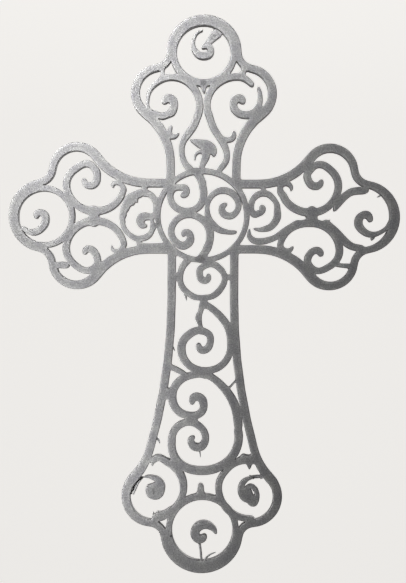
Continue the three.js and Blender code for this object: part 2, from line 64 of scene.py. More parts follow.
print("CAD box in mm:", [round(v / MM, 1) for v in (*cad_low, *cad_high)], "plate", round(PLATE, 2))

# %% [markdown]
# ## The outline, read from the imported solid
# Drawing the scrolls a second time would let them drift from the solid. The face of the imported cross
# is flat, so the edges that have only one face triangle beside them are its outline. Walking along
# them gives closed loops of places (x, z) in millimetres, always with the iron on the left hand.

# %% Read the outline
WELD = 1e-6
FACING = 0.99


def outline_loops(node, depth):
    """Closed loops round the flat face that stands a depth in mm in front of the back."""
    work = bmesh.new()
    work.from_mesh(node.data)
    bmesh.ops.remove_doubles(work, verts=work.verts, dist=WELD)
    face = {f for f in work.faces
            if f.normal.y < -FACING and abs(f.calc_center_median().y + depth * MM) < 10 * WELD}
    ahead = {}
    for triangle in sorted(face, key=lambda f: f.index):
        for corner in triangle.loops:
            if sum(f in face for f in corner.edge.link_faces) == 1:
                ahead[corner.vert] = corner.link_loop_next.vert
    loops = []
    while ahead:
        vert = next(iter(ahead))
        loop = []
        while vert in ahead:
            loop.append((vert.co.x / MM, vert.co.z / MM))
            vert = ahead.pop(vert)
        loops.append(np.array(loop))
    work.free()
    return loops


cad_loops = outline_loops(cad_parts["cross"], PLATE)
print("outline:", len(cad_loops), "loops,", sum(map(len, cad_loops)), "points")

# %% [markdown]
# ## Smooth curves
# The solid's curves are short straight facets. A Catmull-Rom curve runs through their corners and is
# round again. It must not run smoothly through a crotch, where two bars meet, so each loop is first
# parted at its crotches and at its sharp tips. A little averaging afterwards leaves the small fillet
# that a saw or a mould leaves there.

# %% Points and turns of a loop
SHORTEST_EDGE = 0.35  # mm, facets shorter than this are left out
LONGEST_EDGE = 9      # mm, straight stretches get points in between


def turns(points):
    """Turn of a closed loop at each point in degrees, to the left positive."""
    before = points - np.roll(points, 1, axis=0)
    after = np.roll(points, -1, axis=0) - points
    cross = before[:, 0] * after[:, 1] - before[:, 1] * after[:, 0]
    return np.degrees(np.arctan2(cross, (before * after).sum(axis=1)))


def spaced(points):
    """The loop without its shortest edges, and with points along its longest ones."""
    kept = [points[0]]
    for point in points[1:]:
        if np.linalg.norm(point - kept[-1]) > SHORTEST_EDGE:
            kept.append(point)
    if np.linalg.norm(kept[-1] - kept[0]) < SHORTEST_EDGE:
        kept.pop()
    result = []
    for here, there in zip(kept, kept[1:] + kept[:1]):
        parts = math.ceil(np.linalg.norm(there - here) / LONGEST_EDGE)
        result += [here + (there - here) * i / parts for i in range(parts)]
    return np.array(result)


print("spaced:", sum(len(spaced(loop)) for loop in cad_loops), "points")

# %% Smooth the loops
STEP = 0.8            # mm between two points of a finished outline
CROTCH_TURN = 48      # degrees of turn that part a loop, towards the iron
TIP_TURN = 75         # and away from it
SOFTENING = 3         # rounds of averaging


def curve_between(a, b, c, d):
    """Points from b up to c, a step apart, on the centripetal Catmull-Rom curve through a, b, c and d."""
    ends = [a, b, c, d]
    knots = [0.0]
    for here, there in zip(ends, ends[1:]):
        knots.append(knots[-1] + math.sqrt(np.linalg.norm(there - here)))
    count = max(1, round(np.linalg.norm(c - b) / STEP))
    t = (knots[1] + (knots[2] - knots[1]) * np.arange(count) / count)[:, None]

    def between(p, q, first, last):
        return ((knots[last] - t) * p + (t - knots[first]) * q) / (knots[last] - knots[first])

    sides = [between(ends[i], ends[i + 1], i, i + 1) for i in range(3)]
    halves = [between(sides[i], sides[i + 1], i, i + 2) for i in range(2)]
    return between(halves[0], halves[1], 1, 2)


def smooth_stretch(points):
    """Smooth open stretch, up to but not with its last point."""
    first = 2 * points[0] - points[1]
    last = 2 * points[-1] - points[-2]
    ends = [first, *points, last]
    return [curve_between(*ends[i:i + 4]) for i in range(len(points) - 1)]


def smooth_loop(points):
    """Smooth closed loop, parted at its crotches and tips."""
    points = spaced(points)
    turn = turns(points)
    parted = np.flatnonzero((turn < -CROTCH_TURN) | (turn > TIP_TURN))
    count = len(points)
    if len(parted) == 0:
        ends = [points[i % count] for i in range(-1, count + 2)]
        stretches = [curve_between(*ends[i:i + 4]) for i in range(count)]
    else:
        stretches = []
        for first, last in zip(parted, [*parted[1:], parted[0] + count]):
            stretches += smooth_stretch([points[i % count] for i in range(first, last + 1)])
    result = np.vstack(stretches)
    for _ in range(SOFTENING):
        result = result / 2 + (np.roll(result, 1, axis=0) + np.roll(result, -1, axis=0)) / 4
    return result


loops = [smooth_loop(loop) for loop in cad_loops]
print("smoothed:", sum(map(len, loops)), "points")

# %% [markdown]
# ## A torn edge
# Inside the left arm's inner loop the cut ran rough, and the edge of the bar is ragged there. Noise
# moves the points of the outline to and fro along a short row of marks, and nowhere else.

# %% Tear the edge of the inner loop
CROSSING = -139.7     # mm, the middle of the ring below the mount; places are measured from it
TORN = [(-45.4, 11.2), (-47.5, 8.4), (-50, 6.2), (-52.5, 3.7), (-54.4, 0.3), (-55, -3.2)]
TEAR_REACH = 3        # mm from a mark
TEAR_DEPTH = 1.3      # mm
TEAR_LENGTH = 1.8     # mm from one tooth to the next


def inward(points):
    """Unit vectors from a loop into the iron, to the left of the way along it."""
    along = np.roll(points, -1, axis=0) - np.roll(points, 1, axis=0)
    across = np.stack([-along[:, 1], along[:, 0]], axis=1)
    return across / np.linalg.norm(across, axis=1, keepdims=True)


def torn(loop):
    """The loop with ragged teeth near the torn marks."""
    marks = [Vector((x, z + CROSSING)) for x, z in TORN]
    result = loop.copy()
    for i, (point, into) in enumerate(zip(loop, inward(loop))):
        if min((Vector(point) - mark).length for mark in marks) < TEAR_REACH:
            result[i] += into * TEAR_DEPTH * noise.noise(Vector((*point, 0)) / TEAR_LENGTH)
    return result


loops = [torn(loop) for loop in loops]
print("torn marks:", len(TORN))

# %% [markdown]
# ## Rounded edges
# A cut edge that has been blasted is never sharp: a rounded arris, half a millimetre wide, catches a
# thin line of light all along every bar. A Bevel modifier trips over the sharp tips here, so the
# plate is lofted instead: rings of the same outline step in by a quarter circle at the face, run
# straight down the wall and step in again at the back. Where a bar is thinner than two arrises, each
# point steps in only as far as the iron has room.

# %% Room for the arris
FACE_ARRIS = 0.6      # mm, radius of the rounded edge of the face
BACK_ARRIS = 0.35     # mm
ROOM_SHARE = 0.55     # of the half width of thin iron


def edge_tree(loops):
    """Search tree over all points of an outline."""
    points = np.vstack(loops)
    tree = kdtree.KDTree(len(points))
    for i, (x, z) in enumerate(points):
        tree.insert((x, z, 0), i)
    tree.balance()
    return tree


def room(loops, normals, reach):
    """Radius of the largest disc that lies in the iron and touches the edge at each point, up to reach."""
    points = np.vstack(loops)
    facing = np.vstack(normals)
    tree = edge_tree(loops)
    radius = np.full(len(points), reach)
    for i, (x, z) in enumerate(points):
        for _, j, distance in tree.find_range((x, z, 0), 2 * reach):
            ahead = (points[j] - points[i]) @ facing[i]
            if ahead > 0:
                radius[i] = min(radius[i], distance ** 2 / (2 * ahead))
    return radius


print("arris in mm:", FACE_ARRIS, "at the face,", BACK_ARRIS, "at the back")

# %% Rings of the loft
ARRIS_STEPS = 3


def arris_rings(loops, face, back):
    """Rings of places (x, y, z) from the face over both arrises to the back."""
    normals = [inward(loop) for loop in loops]
    free = room(loops, normals, 2 * FACE_ARRIS) * ROOM_SHARE
    face_radius = np.minimum(FACE_ARRIS, free)
    back_radius = np.minimum(BACK_ARRIS, free)
    quarter = [math.pi / 2 * i / ARRIS_STEPS for i in range(ARRIS_STEPS + 1)]
    steps = [(face_radius * (1 - math.sin(angle)), face - face_radius * (1 - math.cos(angle)))
             for angle in quarter]
    steps += [(back_radius * (1 - math.sin(angle)), back + back_radius * (1 - math.cos(angle)))
              for angle in reversed(quarter)]
    rings = []
    for inset, height in steps:
        flat = np.vstack(loops) + np.vstack(normals) * inset[:, None]
        rings.append(np.stack([flat[:, 0], -height, flat[:, 1]], axis=1))
    return rings


def ring_loops(ring, loops):
    """The closed loops of one ring, as places (x, z)."""
    ends = np.cumsum([len(loop) for loop in loops])[:-1]
    return np.split(ring[:, [0, 2]], ends)


print("rings of the loft:", 2 * (ARRIS_STEPS + 1))

# %% [markdown]
# ## A filled face
# The face between its edges could be one polygon with holes, but an uneven face needs points to move.
# A staggered grid of points fills the bars, and a Delaunay triangulation joins them to the edge.

# %% Points inside the face
GRAIN_GRID = 2.2      # mm between the points inside the face
EDGE_GAP = GRAIN_GRID / 3


def rows_inside(loops, spacing):
    """Points on a staggered grid inside the outline, away from its edge."""
    starts = np.vstack(loops)
    ends = np.vstack([np.roll(loop, -1, axis=0) for loop in loops])
    rise = spacing * math.sqrt(3) / 2
    rows = np.arange(starts[:, 1].min() + rise / 2, starts[:, 1].max(), rise)
    found = []
    for number, z in enumerate(rows):
        crossing = (starts[:, 1] > z) != (ends[:, 1] > z)
        a, b = starts[crossing], ends[crossing]
        x = np.sort(a[:, 0] + (z - a[:, 1]) * (b[:, 0] - a[:, 0]) / (b[:, 1] - a[:, 1]))
        for left, right in zip(x[0::2], x[1::2]):
            shift = spacing / 2 * (number % 2)
            first = math.ceil((left + spacing / 3 - shift) / spacing)
            last = math.floor((right - spacing / 3 - shift) / spacing)
            found += [(i * spacing + shift, z) for i in range(first, last + 1)]
    return found


def clear_of_edge(points, loops, gap):
    """The points that keep a gap to every point of the outline."""
    tree = edge_tree(loops)
    return [p for p in points if tree.find((*p, 0))[2] > gap]


print("grid inside the bars:", len(rows_inside(loops, GRAIN_GRID)), "points")

# %% Faces of the loft
TRIANGLES_WITHOUT_HOLES = 2


def ring_edges(loops):
    """Pairs of point numbers along every closed loop."""
    pairs = []
    start = 0
    for loop in loops:
        count = len(loop)
        pairs += [(start + i, start + (i + 1) % count) for i in range(count)]
        start += count
    return pairs


def filled(loops, inner):
    """Triangles that fill the outline, over its points and then the inner ones."""
    places = [Vector(p) for loop in loops for p in loop] + [Vector(p) for p in inner]
    ends = np.cumsum([len(loop) for loop in loops])
    rims = [list(range(end - len(loop), end)) for loop, end in zip(loops, ends)]
    made = geometry.delaunay_2d_cdt(places, [], rims, TRIANGLES_WITHOUT_HOLES, WELD)
    if len(made[0]) != len(places):
        print("the fill added or merged points:", len(places), "to", len(made[0]))
    number = [sources[0] if sources else None for sources in made[3]]
    return [tuple(number[i] for i in triangle) for triangle in made[2]]


def loft_faces(rings, loops, inner):
    """Faces between the rings, over the inner points of the face and across the back."""
    count = len(rings[0])
    first_inner = len(rings) * count
    last_ring = first_inner - count
    faces = []
    for near in range(0, last_ring, count):
        far = near + count
        faces += [(near + i, far + i, far + j, near + j) for i, j in ring_edges(loops)]
    faces += [tuple(i if i < count else i - count + first_inner for i in triangle)
              for triangle in filled(ring_loops(rings[0], loops), inner)]
    faces += [tuple(last_ring + i for i in reversed(triangle))
              for triangle in filled(ring_loops(rings[-1], loops), [])]
    return faces


print("edges round the outline:", len(ring_edges(loops)))

# %% [markdown]
# ## The plate
# The face of the real plate is not quite flat, and light shows that: it rises and dips by a tenth of
# a millimetre over the width of two bars. Each point of the loft also carries two numbers for the
# material. One tells wall from face. The other tells how near the edge of the face is, because
# handling wears a rim brighter than the middle of a bar, and the rim is also painted brighter there
# as a highlight along the edge.

# %% Uneven face, and a rim worn and painted brighter
FACE_DIP = 0.12       # mm, how uneven the face is
DIP_LENGTH = 14       # mm from one broad dip to the next
BROAD_SHARE = 0.35    # of the unevenness
FINE_SHARE = 0.15
FINER = 2.7           # times as many fine dips as broad ones
OTHER_NOISE = 50      # so far off in the noise that fine and broad dips are unlike each other
RIM_WIDTH = 1.8       # mm of the face beside its edge that is worn brighter and painted brighter as a highlight


def face_dip(x, z):
    """How far the uneven face lies below its highest level, in mm."""
    broad = noise.noise(Vector((x, z, 0)) / DIP_LENGTH)
    fine = noise.noise(Vector((x, z, OTHER_NOISE)) / DIP_LENGTH * FINER)
    return FACE_DIP * (0.5 + BROAD_SHARE * broad + FINE_SHARE * fine)


def wall_share(rings, inner):
    """0 on the face, rising over its arris to 1 on the walls and the back."""
    rising = np.minimum(np.arange(len(rings)) / ARRIS_STEPS, 1)
    return np.r_[np.repeat(rising, len(rings[0])), np.zeros(len(inner))]


def rim_share(rings, loops, inner):
    """1 at the edge of the face, fading to 0 down its arris and across its rim."""
    down_arris = np.maximum(1 - np.arange(len(rings)) / ARRIS_STEPS, 0)
    edge = edge_tree(ring_loops(rings[0], loops))
    on_face = [max(0, 1 - edge.find((*place, 0))[2] / RIM_WIDTH) for place in inner]
    return np.r_[np.repeat(down_arris, len(rings[0])), on_face]


print("face dips by up to", FACE_DIP, "mm, worn rim", RIM_WIDTH, "mm wide")


# %% Loft the plate
def plate_mesh(name, loops, face, back):
    """Closed mesh of a flat outline from its face down to its back, both in mm in front of the wall."""
    rings = arris_rings(loops, face, back)
    face_loops = ring_loops(rings[0], loops)
    inner = clear_of_edge(rows_inside(face_loops, GRAIN_GRID), face_loops, EDGE_GAP)
    inner_places = np.array([(x, -face, z) for x, z in inner]).reshape(-1, 3)
    corners = np.vstack([*rings, inner_places])
    wall = wall_share(rings, inner)
    for i in np.flatnonzero(wall < 1):
        corners[i, 1] += face_dip(corners[i, 0], corners[i, 2])
    mesh = bpy.data.meshes.new(name)
    mesh.from_pydata((corners * MM).tolist(), [], loft_faces(rings, loops, inner))
    for title, share in {"wall": wall, "rim": rim_share(rings, loops, inner)}.items():
        values = share.astype(np.float32)
        mesh.attributes.new(title, "FLOAT", "POINT").data.foreach_set("value", values)
    return mesh


def broad_normals(mesh):
    """Shade smoothly, led by the broad faces, so that flat iron stays flat up to its arris."""
    mesh.shade_smooth()
    total = np.zeros((len(mesh.vertices), 3))
    for polygon in mesh.polygons:
        total[list(polygon.vertices)] += np.array(polygon.normal) * polygon.area
    total /= np.linalg.norm(total, axis=1, keepdims=True)
    mesh.normals_split_custom_set_from_vertices(total.tolist())


def add_piece(name, mesh):
    """A new object at the origin, unturned, with its place in its mesh."""
    piece = bpy.data.objects.new(name, mesh)
    bpy.context.scene.collection.objects.link(piece)
    return piece


def open_edges(mesh):
    """How many edges don't have exactly two faces."""
    keys = [key for polygon in mesh.polygons for key in polygon.edge_keys]
    return int((np.unique(keys, axis=0, return_counts=True)[1] != 2).sum())


plate = add_piece("cross_plate", plate_mesh("cross_plate", loops, PLATE, 0))
broad_normals(plate.data)
print("plate:", len(plate.data.polygons), "faces, open edges", open_edges(plate.data))

# %% [markdown]
# ## Thin ties
# The free scrolls of the lobes hang on thin ties that stand back from the face. Their outlines are
# read from the solid at their own level and lofted in the same way. An outline ends where it meets a
# bar, so those points are pushed a little way into the bar, and no gap opens between the two.

# %% Loft the ties
TIE_LEVEL = 6         # mm from the back to the face of a tie
TIE_BACK = 0.5        # mm, a tie stops short of the back, so that no two faces share a plane
ROOT_REACH = 0.8      # mm from a bar within which a point of a tie counts as joined to it
ROOT_DEPTH = 0.6      # mm


def rooted(loop, bars):
    """The outline of a tie, pushed into the bars where it meets them."""
    outward = -inward(loop)
    joined = np.array([bars.find((x, z, 0))[2] < ROOT_REACH for x, z in loop])
    push = np.minimum(ROOT_DEPTH, room([loop], [outward], 2 * ROOT_DEPTH) * ROOM_SHARE)
    return loop + outward * (push * joined)[:, None]


bars = edge_tree(loops)
cad_ties = outline_loops(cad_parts["cross"], TIE_LEVEL)
tie_loops = [rooted(smooth_loop(loop), bars) for loop in cad_ties]
ties = add_piece("ties", plate_mesh("ties", tie_loops, TIE_LEVEL, TIE_BACK))
broad_normals(ties.data)
print("ties:", len(tie_loops), "with", len(ties.data.polygons), "faces, open edges", open_edges(ties.data))

# %% [markdown]
# ## Bare blasted iron
# Blasting leaves iron dull: it reflects, but so roughly that no image shows in it, only a soft
# gradient from the lit side to the dark one. The eye reads a fine grain, faint cloudy blotches where
# the scale was thicker and a few stained places. Two small dark places are painted shade, in a crease
# and in a pit, and the rims are worn brighter and also painted brighter as a highlight. All of it is
# drawn with noise on Object coordinates. The wall and rim numbers of the loft say where the even cut
# walls begin and where the face is worn and painted brighter.

# %% Nodes and colours
def add_node(tree, kind, sockets=None, **settings):
    """Add a node with its settings, and fill or link its sockets by name or number."""
    node = tree.nodes.new(kind)
    for name, value in settings.items():
        setattr(node, name, value)
    for name, value in (sockets or {}).items():
        if isinstance(value, bpy.types.NodeSocket):
            tree.links.new(value, node.inputs[name])
        else:
            node.inputs[name].default_value = value
    return node


def linear(hex_colour):
    """An sRGB hex colour as linear RGBA."""
    channels = [int(hex_colour[i:i + 2], 16) / 255 for i in (1, 3, 5)]
    return [c / 12.92 if c <= 0.04045 else ((c + 0.055) / 1.055) ** 2.4 for c in channels] + [1.0]


print("middle grey in linear light:", round(linear("#808080")[0], 3))

# %% Stains and painted shade
# Darker places on the face, stains and two of painted shade: x, z, half width, half height in mm, and how
# much light they keep
STAINS_AND_PAINTED_SHADE = {
    "below_ring": (-1.5, -31.9, 4.2, 3.2, 0.62),
    "left_of_ring": (-32.5, -5.7, 2.8, 4.2, 0.66),
    "top_of_ring": (-5.0, 31.9, 4.5, 2.6, 0.8),
    "top_link": (0.2, 95.2, 2.4, 3.4, 0.62),
    # darker at the foot of the column's leaf
    "leaf_foot": (-1.2, -77.9, 2.2, 2.4, 0.7),
    # painted shade: the dark of a crease beside a sliver in the foot
    "left_eye_painted_shade": (-33.8, -198.3, 0.8, 2.6, 0.65),
    # painted shade: the dark inside a small pit in the foot
    "foot_pit_painted_shade": (-21.1, -230.1, 1.1, 1.0, 0.3),
}
STAIN_AND_SHADE_FULL = 0.7      # of its half size, up to where a stain is at its darkest
STAIN_AND_SHADE_END = 1.1       # and where it has faded out


def stained_and_shaded(tree, place, colour):
    """The colour, darkened at each stained place and at each place of painted shade."""
    for x, z, half_width, half_height, kept in STAINS_AND_PAINTED_SHADE.values():
        offset = add_node(tree, "ShaderNodeVectorMath", {
            0: place, 1: (x * MM, 0, (z + CROSSING) * MM)}, operation="SUBTRACT").outputs[0]
        spread = add_node(tree, "ShaderNodeVectorMath", {
            0: offset, 1: (1 / (half_width * MM), 0, 1 / (half_height * MM))},
            operation="MULTIPLY").outputs[0]
        reach = add_node(tree, "ShaderNodeVectorMath", {0: spread}, operation="LENGTH").outputs["Value"]
        light = add_node(tree, "ShaderNodeMapRange", {
            "Value": reach, "From Min": STAIN_AND_SHADE_FULL, "From Max": STAIN_AND_SHADE_END,
            "To Min": kept, "To Max": 1.0}).outputs[0]
        colour = add_node(tree, "ShaderNodeMix", {0: 1.0, 6: colour, 7: light},
                          data_type="RGBA", blend_type="MULTIPLY").outputs[2]
    return colour


print("stains:", len(STAINS_AND_PAINTED_SHADE))

# %% Blotches, walls, and rims worn and painted brighter
NOISE_LOW = 0.3       # nearly all of a noise lies between these two
NOISE_HIGH = 0.7
CLOUD_SIZE = 7        # mm across a blotch
FACE_DARK = "#a2a1a5"
FACE_LIGHT = "#b7b7b5"
WALL_DARK = "#9f9d9d"
WALL_LIGHT = "#a8a6a5"
LEAST_WEAR_AND_HIGHLIGHT = 0.1      # light that wear and a painted highlight add at the very edge, in dark blotches
MOST_WEAR_AND_HIGHLIGHT = 0.4       # and in light ones


def iron_clouds(tree, place):
    """Cloudy blotches, from 0 where they are dark to 1."""
    cloud = add_node(tree, "ShaderNodeTexNoise", {
        "Vector": place, "Scale": 1 / (CLOUD_SIZE * MM), "Detail": 4.0, "Roughness": 0.75}).outputs["Fac"]
    return add_node(tree, "ShaderNodeMapRange", {
        "Value": cloud, "From Min": NOISE_LOW, "From Max": NOISE_HIGH}).outputs[0]


def iron_colour(tree, place, cloud, wall):
    """Blotched and stained face with painted shade in two places and rims worn and painted brighter, and
    more even cut walls and back.
    """
    face = add_node(tree, "ShaderNodeMix", {
        0: cloud, 6: linear(FACE_DARK), 7: linear(FACE_LIGHT)}, data_type="RGBA").outputs[2]
    face = stained_and_shaded(tree, place, face)
    even = add_node(tree, "ShaderNodeMix", {
        0: cloud, 6: linear(WALL_DARK), 7: linear(WALL_LIGHT)}, data_type="RGBA").outputs[2]
    colour = add_node(tree, "ShaderNodeMix", {0: wall, 6: face, 7: even}, data_type="RGBA").outputs[2]
    # The rim is lightened: wear from handling, and a painted highlight along every edge.
    rim = add_node(tree, "ShaderNodeAttribute", attribute_name="rim").outputs["Fac"]
    wear_and_highlight = add_node(tree, "ShaderNodeMapRange", {
        "Value": cloud, "To Min": LEAST_WEAR_AND_HIGHLIGHT, "To Max": MOST_WEAR_AND_HIGHLIGHT}).outputs[0]
    light = add_node(tree, "ShaderNodeMath", {0: rim, 1: wear_and_highlight, 2: 1.0},
                     operation="MULTIPLY_ADD").outputs[0]
    return add_node(tree, "ShaderNodeMix", {0: 1.0, 6: colour, 7: light},
                    data_type="RGBA", blend_type="MULTIPLY").outputs[2]


print("blotches:", CLOUD_SIZE, "mm across, from", FACE_DARK, "to", FACE_LIGHT)

# %% Iron
GRIT_SIZE = 0.9       # mm; real grit is about 0.4 mm, drawn coarser so that it shows in the picture
GRIT_DEPTH = 0.06     # mm
GRIT_BUMP = 0.5
DARK_GRAIN = 0.58     # light that a dark grain keeps
LIGHT_GRAIN = 1.42
EDGE_START = 0.3      # wall number from which an edge has all of its own finish
EDGE_CALM = 0.9       # how much of the grit is lost there, so that the edge is a line and not dots
EDGE_ROUGHER = 0.2    # and how much rougher it is, by the same share
LEAST_ROUGH = 0.55
MOST_ROUGH = 0.65
METAL_SHARE = 0.6     # clean iron is all metal; the skin that blasting leaves is partly matt


def blasted_iron():
    """Bare iron plate after blasting: dull grey, fine-grained and cloudy, with painted shade in two places
    and rims worn and painted brighter.
    """
    material = bpy.data.materials.new("blasted_iron")
    material.use_nodes = True
    tree = material.node_tree
    shader = tree.nodes["Principled BSDF"]
    place = add_node(tree, "ShaderNodeTexCoord").outputs["Object"]
    wall = add_node(tree, "ShaderNodeAttribute", attribute_name="wall").outputs["Fac"]
    cloud = iron_clouds(tree, place)
    edge = add_node(tree, "ShaderNodeMapRange", {
        "Value": wall, "From Max": EDGE_START, "To Max": EDGE_CALM}).outputs[0]
    grit = add_node(tree, "ShaderNodeTexNoise", {
        "Vector": place, "Scale": 1 / (GRIT_SIZE * MM), "Detail": 2.0, "Roughness": 0.7}).outputs["Fac"]
    grit = add_node(tree, "ShaderNodeMix", {0: edge, 2: grit, 3: 0.5}, data_type="FLOAT").outputs[0]
    specks = add_node(tree, "ShaderNodeMapRange", {
        "Value": grit, "From Min": NOISE_LOW, "From Max": NOISE_HIGH,
        "To Min": DARK_GRAIN, "To Max": LIGHT_GRAIN}).outputs[0]
    colour = add_node(tree, "ShaderNodeMix", {
        0: 1.0, 6: iron_colour(tree, place, cloud, wall), 7: specks},
        data_type="RGBA", blend_type="MULTIPLY").outputs[2]
    rough = add_node(tree, "ShaderNodeMapRange", {
        "Value": cloud, "To Min": LEAST_ROUGH, "To Max": MOST_ROUGH}).outputs[0]
    rough = add_node(tree, "ShaderNodeMath", {0: edge, 1: EDGE_ROUGHER, 2: rough},
                     operation="MULTIPLY_ADD").outputs[0]
    bump = add_node(tree, "ShaderNodeBump", {
        "Strength": GRIT_BUMP, "Distance": GRIT_DEPTH * MM, "Height": grit}).outputs[0]
    tree.links.new(colour, shader.inputs["Base Color"])
    tree.links.new(rough, shader.inputs["Roughness"])
    tree.links.new(bump, shader.inputs["Normal"])
    shader.inputs["Metallic"].default_value = METAL_SHARE
    return material


iron = blasted_iron()
for piece in (plate, ties):
    piece.data.materials.append(iron)
    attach(piece, "root")
    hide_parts("cross")
print("iron:", len(iron.node_tree.nodes), "nodes")

# %% [markdown]
# ## Slivers and burrs
# The cut left slivers and small teeth along the bars. Each follows a short path that narrows to its
# tip. Fifteen small meshes could be drawn by hand, but one Geometry Nodes tree makes them all alike:
# the marks become a smooth curve, a rounded section is swept along it, and each point of the sweep
# takes its place from the width that the mark carries and from the burrs' level and thickness.

# %% Marks of the burrs
# Every mark is x, z from the crossing and the width there, all in mm
BURRS = {
    "column_upper": [(-23, -86.3, 1.7), (-21.2, -86.4, 1.6), (-19.3, -87.1, 0.4)],
    "column_lower": [(-23, -93.4, 1.9), (-20.8, -94.9, 1.6), (-19, -97.7, 0.4)],
    "side": [(-32.3, -160, 1.9), (-30.5, -161.5, 1.6), (-29.5, -164, 0.4)],
    "ring": [(-12.1, -56.2, 1.9), (-11.5, -58.7, 1.6), (-10.8, -61.5, 0.4)],
    "eye": [(-1.2, -167.7, 1.1), (-0.7, -170.6, 1), (-0.4, -173.7, 0.4)],
    "frame": [(-42.8, -190.3, 0.6), (-45, -192.6, 1.4), (-46.5, -195.9, 1.6), (-48.3, -200.6, 0.9)],
    "bottom_straight": [(1.5, -250.7, 1.4), (0.9, -245.7, 1.1), (0.3, -241.4, 0.4)],
    "bottom_curved": [(2.3, -249.7, 1.4), (4, -246.1, 1.3), (6.8, -243.5, 1.1), (10.8, -241.8, 0.4)],
    "lump_upper": [(-29.2, -216.1, 2.4), (-30.2, -214.1, 2.1), (-30.7, -212.2, 0.9)],
    "lump_left": [(-33.4, -217.7, 2.3), (-33.7, -215.1, 1.6), (-33.9, -212.9, 0.6)],
    "lump_middle": [(-26.2, -215.1, 2.1), (-27.9, -214.0, 1.7), (-28.7, -212.5, 0.6)],
    "frame_peg": [(47, -187.2, 1.9), (44.5, -187.8, 1.7), (42.6, -189, 0.7)],
    "lobe_upper": [(128.2, 15.9, 1.6), (126.8, 14, 1.3), (125.2, 13.3, 0.4)],
    "lobe_lower": [(120.8, -17.2, 2.1), (122.7, -16.1, 1.7), (123.9, -14.3, 0.6)],
    "crotch": [(89.3, -5.2, 1.6), (90.5, -4.2, 1.3), (91.5, -2.9, 0.4)],
}


def marks_mesh(paths):
    """Edges along the marks of every path, with the width at each mark."""
    corners, edges, widths = [], [], []
    for marks in paths.values():
        first = len(corners)
        corners += [(x * MM, 0, (z + CROSSING) * MM) for x, z, width in marks]
        edges += [(first + i, first + i + 1) for i in range(len(marks) - 1)]
        widths += [width * MM for x, z, width in marks]
    mesh = bpy.data.meshes.new("burr_marks")
    mesh.from_pydata(corners, edges, [])
    mesh.attributes.new("width", "FLOAT", "POINT").data.foreach_set("value", widths)
    return mesh


burr_marks = marks_mesh(BURRS)
print("marks of burrs:", len(burr_marks.vertices))

# %% Sweep of the burrs
ROUNDING_POINTS = 2


def burr_sweep(tree, given):
    """Unit section swept along the marks, with each point's place on the path and on the section."""
    path = add_node(tree, "GeometryNodeMeshToCurve", {"Mesh": given["Marks"]}).outputs["Curve"]
    path = add_node(tree, "GeometryNodeCurveSplineType", {"Curve": path},
                    spline_type="CATMULL_ROM").outputs["Curve"]
    path = add_node(tree, "GeometryNodeResampleCurve", {"Curve": path, "Length": given["Step"]},
                    mode="LENGTH").outputs["Curve"]
    position = add_node(tree, "GeometryNodeInputPosition").outputs["Position"]
    tangent = add_node(tree, "GeometryNodeInputTangent").outputs["Tangent"]
    on_path = add_node(tree, "GeometryNodeCaptureAttribute")
    on_path.capture_items.new("VECTOR", "Place")
    on_path.capture_items.new("VECTOR", "Along")
    tree.links.new(path, on_path.inputs["Geometry"])
    tree.links.new(position, on_path.inputs["Place"])
    tree.links.new(tangent, on_path.inputs["Along"])
    section = add_node(tree, "GeometryNodeCurvePrimitiveQuadrilateral",
                       {"Width": 1.0, "Height": 1.0}).outputs["Curve"]
    section = add_node(tree, "GeometryNodeFilletCurve", {
        "Curve": section, "Radius": given["Rounding"], "Count": ROUNDING_POINTS},
        mode="POLY").outputs["Curve"]
    on_section = add_node(tree, "GeometryNodeCaptureAttribute")
    on_section.capture_items.new("VECTOR", "Corner")
    tree.links.new(section, on_section.inputs["Geometry"])
    tree.links.new(position, on_section.inputs["Corner"])
    sweep = add_node(tree, "GeometryNodeCurveToMesh", {
        "Curve": on_path.outputs["Geometry"], "Profile Curve": on_section.outputs["Geometry"],
        "Fill Caps": True}).outputs["Mesh"]
    return sweep, on_path.outputs, on_section.outputs["Corner"]


print("points of a burr's section:", 4 * (ROUNDING_POINTS + 1))


# %% Places of the burrs
def burr_places(tree, given, on_path, corner):
    """Place of each point of the sweep, from the width of its mark and the level and thickness."""
    corner = add_node(tree, "ShaderNodeSeparateXYZ", {0: corner}).outputs
    width = add_node(tree, "GeometryNodeInputNamedAttribute", {"Name": "width"}).outputs["Attribute"]
    across = add_node(tree, "ShaderNodeVectorMath", {0: on_path["Along"], 1: (0, 1, 0)},
                      operation="CROSS_PRODUCT").outputs[0]
    sideways = add_node(tree, "ShaderNodeMath", {0: corner["X"], 1: width},
                        operation="MULTIPLY").outputs[0]
    across = add_node(tree, "ShaderNodeVectorMath", {0: across, "Scale": sideways},
                      operation="SCALE").outputs[0]
    depth = add_node(tree, "ShaderNodeMath", {0: 0.5, 1: corner["Y"]}, operation="SUBTRACT").outputs[0]
    depth = add_node(tree, "ShaderNodeMath", {0: depth, 1: given["Thickness"]},
                     operation="MULTIPLY").outputs[0]
    depth = add_node(tree, "ShaderNodeMath", {0: depth, 1: given["Level"]}, operation="SUBTRACT").outputs[0]
    depth = add_node(tree, "ShaderNodeCombineXYZ", {"Y": depth}).outputs[0]
    place = add_node(tree, "ShaderNodeVectorMath", {0: on_path["Place"], 1: across},
                     operation="ADD").outputs[0]
    return add_node(tree, "ShaderNodeVectorMath", {0: place, 1: depth}, operation="ADD").outputs[0]


